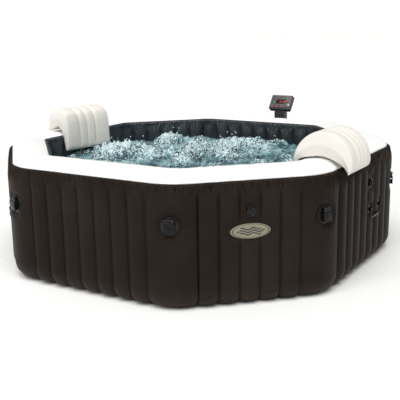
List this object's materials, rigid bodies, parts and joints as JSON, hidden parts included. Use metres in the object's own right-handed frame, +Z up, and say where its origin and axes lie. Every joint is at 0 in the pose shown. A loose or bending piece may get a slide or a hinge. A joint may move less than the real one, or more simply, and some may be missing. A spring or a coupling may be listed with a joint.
{
  "type": "inflatable hot tub",
  "caption": "Octagonal inflatable hot tub with fluted dark walls, white rim, arched headrests, cover buckles, handles and an outside pump and heater base with a swivelling control panel.",
  "frame": {"origin": "centre of the tub at ground level, under its floor sheet", "axes": "+Z up; -Y out of the short front side with the oval badge; the pump and heater base stands on the side between +X and +Y"},
  "size_m": [2.2616, 2.2576, 0.806],
  "materials": {
    "dark_pvc": "laminated PVC, satin dark brown",
    "slate_pvc": "laminated PVC, satin dark slate",
    "white_pvc": "laminated PVC, soft white",
    "cream_pvc": "flocked PVC film, cream white",
    "web_fibre": "woven polyester web",
    "black_plastic": "moulded, fine texture",
    "badge_plastic": "moulded, warm grey",
    "clear_hose": "reinforced PVC hose",
    "grey_plastic": "moulded, satin",
    "housing_plastic": "moulded, fine texture",
    "white_plastic": "moulded, satin",
    "screw_steel": "zinc plated",
    "heater_steel": "stainless tube",
    "steel_dark": "lacquered rotor",
    "panel_navy": "moulded, semi gloss",
    "panel_grey": "printed overlay, satin",
    "display_glass": "dark display window",
    "green_button": "silicone",
    "red_button": "silicone",
    "white_button": "silicone"
  },
  "bodies": {
    "root": {"outer_wall_skin": "dark_pvc", "inner_wall_skin": "slate_pvc", "rim_skin": "white_pvc", "floor_sheet": "slate_pvc", "tension_webs": "web_fibre", "valve_bodies": "black_plastic", "oval_badge": "badge_plastic", "buckle_anchors": "black_plastic", "handle_mounts": "black_plastic", "wall_ports": "black_plastic", "union_nuts": "black_plastic", "jet_hoses": "clear_hose", "jet_housings": "black_plastic", "bubble_channel": "slate_pvc", "filter_housing": "grey_plastic", "base_tray": "housing_plastic", "base_front_shell": "housing_plastic", "base_rear_shell": "housing_plastic", "base_deck": "housing_plastic", "deck_screws": "screw_steel", "pump_casing": "black_plastic", "blower_scroll": "black_plastic", "heater_unit": "heater_steel", "base_pipes": "grey_plastic", "power_box": "grey_plastic"},
    "cover_buckle_1": {"cover_buckle_1": "black_plastic"},
    "cover_buckle_2": {"cover_buckle_2": "black_plastic"},
    "cover_buckle_3": {"cover_buckle_3": "black_plastic"},
    "cover_buckle_4": {"cover_buckle_4": "black_plastic"},
    "cover_buckle_5": {"cover_buckle_5": "black_plastic"},
    "cover_buckle_6": {"cover_buckle_6": "black_plastic"},
    "cover_buckle_7": {"cover_buckle_7": "black_plastic"},
    "cover_buckle_8": {"cover_buckle_8": "black_plastic"},
    "carry_handle_1": {"carry_handle_1": "black_plastic"},
    "carry_handle_2": {"carry_handle_2": "black_plastic"},
    "carry_handle_3": {"carry_handle_3": "black_plastic"},
    "carry_handle_4": {"carry_handle_4": "black_plastic"},
    "valve_cap_1": {"valve_cap_1": "black_plastic"},
    "valve_cap_2": {"valve_cap_2": "black_plastic"},
    "drain_cap": {"drain_cap": "black_plastic"},
    "jet_nozzle_1": {"jet_nozzle_1": "white_plastic"},
    "jet_nozzle_2": {"jet_nozzle_2": "white_plastic"},
    "jet_nozzle_3": {"jet_nozzle_3": "white_plastic"},
    "jet_nozzle_4": {"jet_nozzle_4": "white_plastic"},
    "filter_cartridge": {"filter_cartridge": "white_plastic"},
    "headrest_right": {"headrest_right": "cream_pvc"},
    "headrest_left": {"headrest_left": "cream_pvc"},
    "pump_rotor": {"pump_rotor": "steel_dark"},
    "blower_fan": {"blower_fan": "white_plastic"},
    "control_panel": {"panel_back_shell": "panel_navy", "panel_front_shell": "panel_grey", "display_module": "display_glass"},
    "button_power": {"button_power": "green_button"},
    "button_jets": {"button_jets": "green_button"},
    "button_bubbles": {"button_bubbles": "red_button"},
    "button_heater": {"button_heater": "red_button"},
    "button_units": {"button_units": "white_button"},
    "button_up": {"button_up": "red_button"},
    "button_down": {"button_down": "red_button"},
    "button_filter": {"button_filter": "red_button"}
  },
  "joints": [
    {"name": "cover_buckle_1_swing", "type": "hinge", "parent": "root", "child": "cover_buckle_1", "pos_m": [0.38803, -1.08033, 0.445], "axis": [-0.9239, -0.3827, 0], "range_deg": [0, 170]},
    {"name": "cover_buckle_2_swing", "type": "hinge", "parent": "root", "child": "cover_buckle_2", "pos_m": [1.08033, -0.38803, 0.445], "axis": [-0.3827, -0.9239, 0], "range_deg": [0, 170]},
    {"name": "cover_buckle_3_swing", "type": "hinge", "parent": "root", "child": "cover_buckle_3", "pos_m": [1.08033, 0.38803, 0.445], "axis": [0.3827, -0.9239, 0], "range_deg": [0, 170]},
    {"name": "cover_buckle_4_swing", "type": "hinge", "parent": "root", "child": "cover_buckle_4", "pos_m": [0.38803, 1.08033, 0.445], "axis": [0.9239, -0.3827, 0], "range_deg": [0, 170]},
    {"name": "cover_buckle_5_swing", "type": "hinge", "parent": "root", "child": "cover_buckle_5", "pos_m": [-0.38803, 1.08033, 0.445], "axis": [0.9239, 0.3827, 0], "range_deg": [0, 170]},
    {"name": "cover_buckle_6_swing", "type": "hinge", "parent": "root", "child": "cover_buckle_6", "pos_m": [-1.08033, 0.38803, 0.445], "axis": [0.3827, 0.9239, 0], "range_deg": [0, 170]},
    {"name": "cover_buckle_7_swing", "type": "hinge", "parent": "root", "child": "cover_buckle_7", "pos_m": [-1.08033, -0.38803, 0.445], "axis": [-0.3827, 0.9239, 0], "range_deg": [0, 170]},
    {"name": "cover_buckle_8_swing", "type": "hinge", "parent": "root", "child": "cover_buckle_8", "pos_m": [-0.38803, -1.08033, 0.445], "axis": [-0.9239, 0.3827, 0], "range_deg": [0, 170]},
    {"name": "carry_handle_1_swing", "type": "hinge", "parent": "root", "child": "carry_handle_1", "pos_m": [0.8595, -0.64419, 0.32], "axis": [-0.7071, -0.7071, 0], "range_deg": [0, 150]},
    {"name": "carry_handle_2_swing", "type": "hinge", "parent": "root", "child": "carry_handle_2", "pos_m": [1.10531, 0, 0.32], "axis": [0, -1, 0], "range_deg": [0, 150]},
    {"name": "carry_handle_3_swing", "type": "hinge", "parent": "root", "child": "carry_handle_3", "pos_m": [-0.64419, 0.8595, 0.32], "axis": [0.7071, 0.7071, 0], "range_deg": [0, 150]},
    {"name": "carry_handle_4_swing", "type": "hinge", "parent": "root", "child": "carry_handle_4", "pos_m": [-1.10531, 0, 0.32], "axis": [0, 1, 0], "range_deg": [0, 150]},
    {"name": "valve_cap_1_turn", "type": "hinge", "parent": "root", "child": "valve_cap_1", "pos_m": [0, -1.09931, 0.468], "axis": [0, -1, 0], "range_deg": [0, 90]},
    {"name": "valve_cap_2_turn", "type": "hinge", "parent": "root", "child": "valve_cap_2", "pos_m": [0.80502, -0.69018, 0.468], "axis": [0.7071, -0.7071, 0], "range_deg": [0, 90]},
    {"name": "drain_cap_turn", "type": "hinge", "parent": "root", "child": "drain_cap", "pos_m": [0, 1.10131, 0.12], "axis": [0, 1, 0], "continuous": true},
    {"name": "jet_nozzle_1_turn", "type": "hinge", "parent": "root", "child": "jet_nozzle_1", "pos_m": [0.58497, -0.58497, 0.3], "axis": [0.7071, -0.7071, 0], "continuous": true},
    {"name": "jet_nozzle_2_turn", "type": "hinge", "parent": "root", "child": "jet_nozzle_2", "pos_m": [0.58497, 0.58497, 0.3], "axis": [0.7071, 0.7071, 0], "continuous": true},
    {"name": "jet_nozzle_3_turn", "type": "hinge", "parent": "root", "child": "jet_nozzle_3", "pos_m": [-0.58497, 0.58497, 0.3], "axis": [-0.7071, 0.7071, 0], "continuous": true},
    {"name": "jet_nozzle_4_turn", "type": "hinge", "parent": "root", "child": "jet_nozzle_4", "pos_m": [-0.58497, -0.58497, 0.3], "axis": [-0.7071, -0.7071, 0], "continuous": true},
    {"name": "filter_cartridge_lift", "type": "slide", "parent": "root", "child": "filter_cartridge", "axis": [0, 0, 1], "range_m": [0, 0.25]},
    {"name": "headrest_right_lift", "type": "slide", "parent": "root", "child": "headrest_right", "axis": [0, 0, 1], "range_m": [0, 0.32]},
    {"name": "headrest_left_lift", "type": "slide", "parent": "root", "child": "headrest_left", "axis": [0, 0, 1], "range_m": [0, 0.32]},
    {"name": "pump_rotor_spin", "type": "hinge", "parent": "root", "child": "pump_rotor", "pos_m": [0.95478, 0.81124, 0.19], "axis": [0.7071, 0.7071, 0], "continuous": true},
    {"name": "blower_fan_spin", "type": "hinge", "parent": "root", "child": "blower_fan", "pos_m": [0.8618, 0.8618, 0.44], "axis": [0.7071, 0.7071, 0], "continuous": true},
    {"name": "control_panel_swivel", "type": "hinge", "parent": "root", "child": "control_panel", "pos_m": [0.82185, 0.82185, 0.574], "axis": [0, 0, 1], "range_deg": [-90, 90]},
    {"name": "button_power_press", "type": "slide", "parent": "control_panel", "child": "button_power", "axis": [0.5721, 0.5721, -0.5878], "range_m": [0, 0.0015], "stiffness_N_per_m": 1500},
    {"name": "button_jets_press", "type": "slide", "parent": "control_panel", "child": "button_jets", "axis": [0.5721, 0.5721, -0.5878], "range_m": [0, 0.0015], "stiffness_N_per_m": 1500},
    {"name": "button_bubbles_press", "type": "slide", "parent": "control_panel", "child": "button_bubbles", "axis": [0.5721, 0.5721, -0.5878], "range_m": [0, 0.0015], "stiffness_N_per_m": 1500},
    {"name": "button_heater_press", "type": "slide", "parent": "control_panel", "child": "button_heater", "axis": [0.5721, 0.5721, -0.5878], "range_m": [0, 0.0015], "stiffness_N_per_m": 1500},
    {"name": "button_units_press", "type": "slide", "parent": "control_panel", "child": "button_units", "axis": [0.5721, 0.5721, -0.5878], "range_m": [0, 0.0015], "stiffness_N_per_m": 1500},
    {"name": "button_up_press", "type": "slide", "parent": "control_panel", "child": "button_up", "axis": [0.5721, 0.5721, -0.5878], "range_m": [0, 0.0015], "stiffness_N_per_m": 1500},
    {"name": "button_down_press", "type": "slide", "parent": "control_panel", "child": "button_down", "axis": [0.5721, 0.5721, -0.5878], "range_m": [0, 0.0015], "stiffness_N_per_m": 1500},
    {"name": "button_filter_press", "type": "slide", "parent": "control_panel", "child": "button_filter", "axis": [0.5721, 0.5721, -0.5878], "range_m": [0, 0.0015], "stiffness_N_per_m": 1500}
  ]
}
